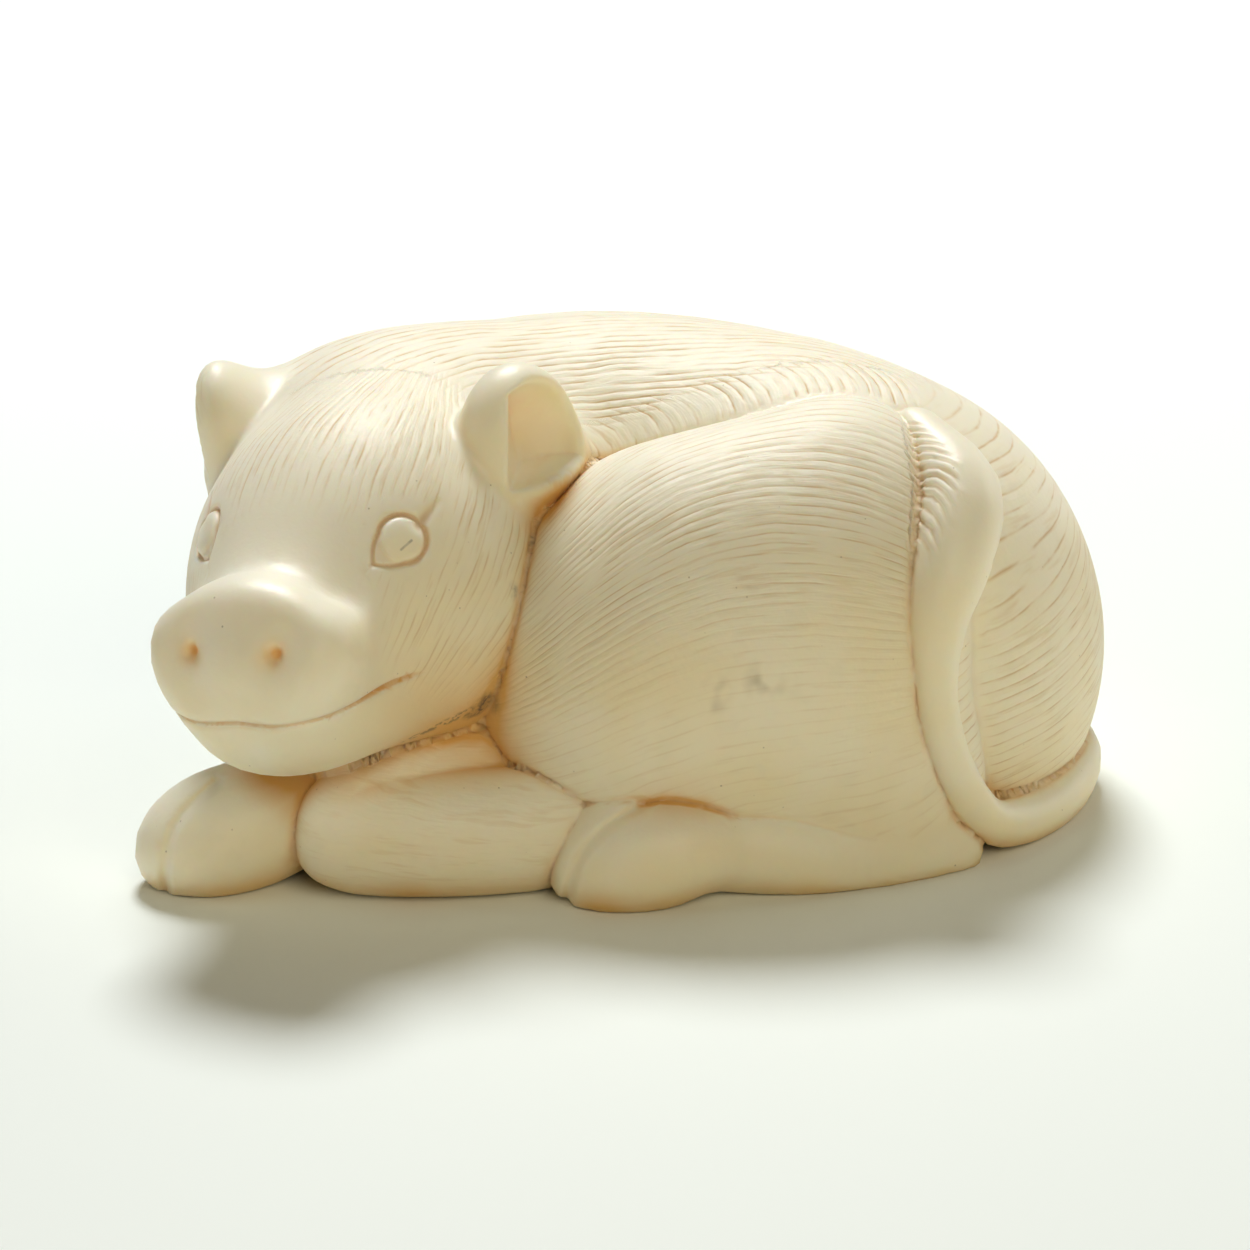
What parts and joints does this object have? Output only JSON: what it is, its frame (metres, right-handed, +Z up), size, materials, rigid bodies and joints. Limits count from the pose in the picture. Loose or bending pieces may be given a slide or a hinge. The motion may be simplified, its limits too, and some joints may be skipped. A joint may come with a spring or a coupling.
{
  "type": "reclining pig figurine",
  "caption": "Small carved ivory-like figure of a young pig lying curled up, head on its folded forelegs, tail hanging over the rump.",
  "frame": {"origin": "middle of the bounding box's footprint, on the plane of the flat underside that the figure rests on", "axes": "+Z up; +X from the head and forward hoof to the rump, the figure's longest direction; -Y towards the side where the face, the folded foreleg and the near haunch show"},
  "size_m": [0.06, 0.0484, 0.0303],
  "materials": {
    "ivory": "satin, hand-polished, yellowed ivory with brown stain in the creases"
  },
  "bodies": {
    "root": {"reclining_pig": "ivory"}
  },
  "joints": []
}
